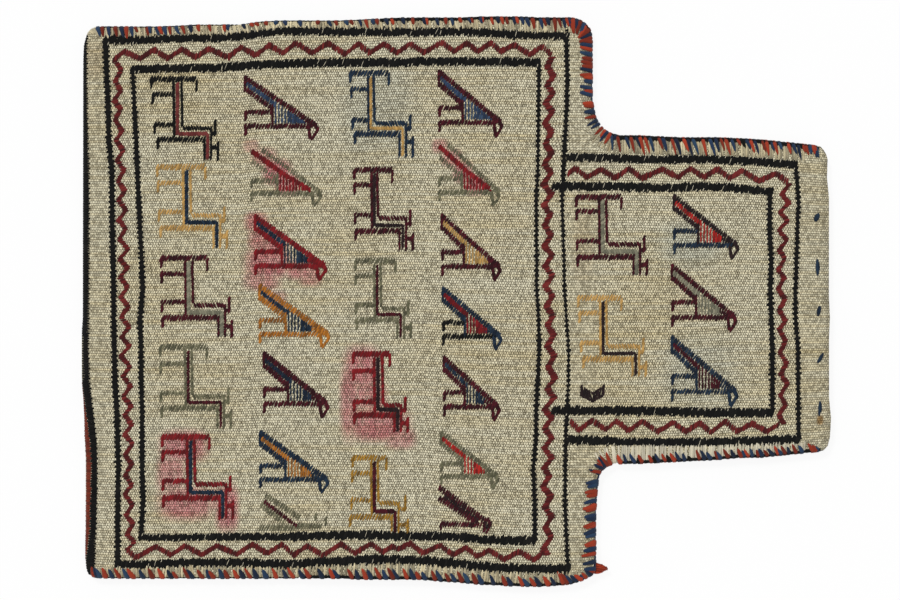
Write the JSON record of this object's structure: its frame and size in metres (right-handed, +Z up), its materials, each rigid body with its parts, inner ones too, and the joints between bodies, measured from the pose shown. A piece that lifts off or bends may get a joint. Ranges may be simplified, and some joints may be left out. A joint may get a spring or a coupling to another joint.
{
  "type": "flatwoven salt bag",
  "caption": "Flatwoven wool salt bag, folded at the bottom and overcast at the sides, with a wide body, a narrower open neck and framed animal figures, lying on its back.",
  "frame": {"origin": "middle of the outline's bounding box, on the surface that the bag lies on", "axes": "+X from the folded bottom to the open mouth, +Y across the bag, +Z up through its figured front"},
  "size_m": [0.5631, 0.4274, 0.0102],
  "materials": {
    "cream_wool": "matte",
    "black_wool": "matte",
    "madder_wool": "matte",
    "seam_red_wool": "matte",
    "seam_blue_wool": "matte",
    "maroon_wool": "matte",
    "crimson_wool": "matte",
    "gold_wool": "matte",
    "sage_wool": "matte",
    "navy_wool": "matte",
    "dark_brown_wool": "matte"
  },
  "bodies": {
    "root": {"back_cloth": "cream_wool", "bird_1": "maroon_wool", "bird_10": "maroon_wool", "bird_11": "navy_wool", "bird_12": "maroon_wool", "bird_13": "sage_wool", "bird_14": "maroon_wool", "bird_15": "dark_brown_wool", "bird_16": "maroon_wool", "bird_17": "navy_wool", "bird_2": "sage_wool", "bird_3": "crimson_wool", "bird_4": "gold_wool", "bird_5": "maroon_wool", "bird_6": "navy_wool", "bird_7": "sage_wool", "bird_8": "maroon_wool", "bird_9": "sage_wool", "body_inner_border": "black_wool", "body_outer_border": "black_wool", "body_zigzag": "madder_wool", "fold_black_stripe": "black_wool", "fold_cloth": "cream_wool", "fold_red_stripe": "seam_red_wool", "front_cloth": "cream_wool", "goat_1": "black_wool", "goat_10": "gold_wool", "goat_11": "maroon_wool", "goat_12": "gold_wool", "goat_2": "gold_wool", "goat_3": "maroon_wool", "goat_4": "sage_wool", "goat_5": "crimson_wool", "goat_6": "navy_wool", "goat_7": "maroon_wool", "goat_8": "sage_wool", "goat_9": "crimson_wool", "hoof_mark": "dark_brown_wool", "loose_yarn_end": "seam_red_wool", "lower_seam_blue_yarn": "seam_blue_wool", "lower_seam_red_yarn": "seam_red_wool", "mouth_stitch_1": "seam_blue_wool", "mouth_stitch_2": "seam_blue_wool", "mouth_stitch_3": "seam_blue_wool", "mouth_stitch_4": "seam_blue_wool", "mouth_stitch_5": "seam_blue_wool", "neck_inner_border": "black_wool", "neck_outer_border": "black_wool", "neck_zigzag": "madder_wool", "upper_seam_blue_yarn": "seam_blue_wool", "upper_seam_red_yarn": "seam_red_wool"}
  },
  "joints": []
}
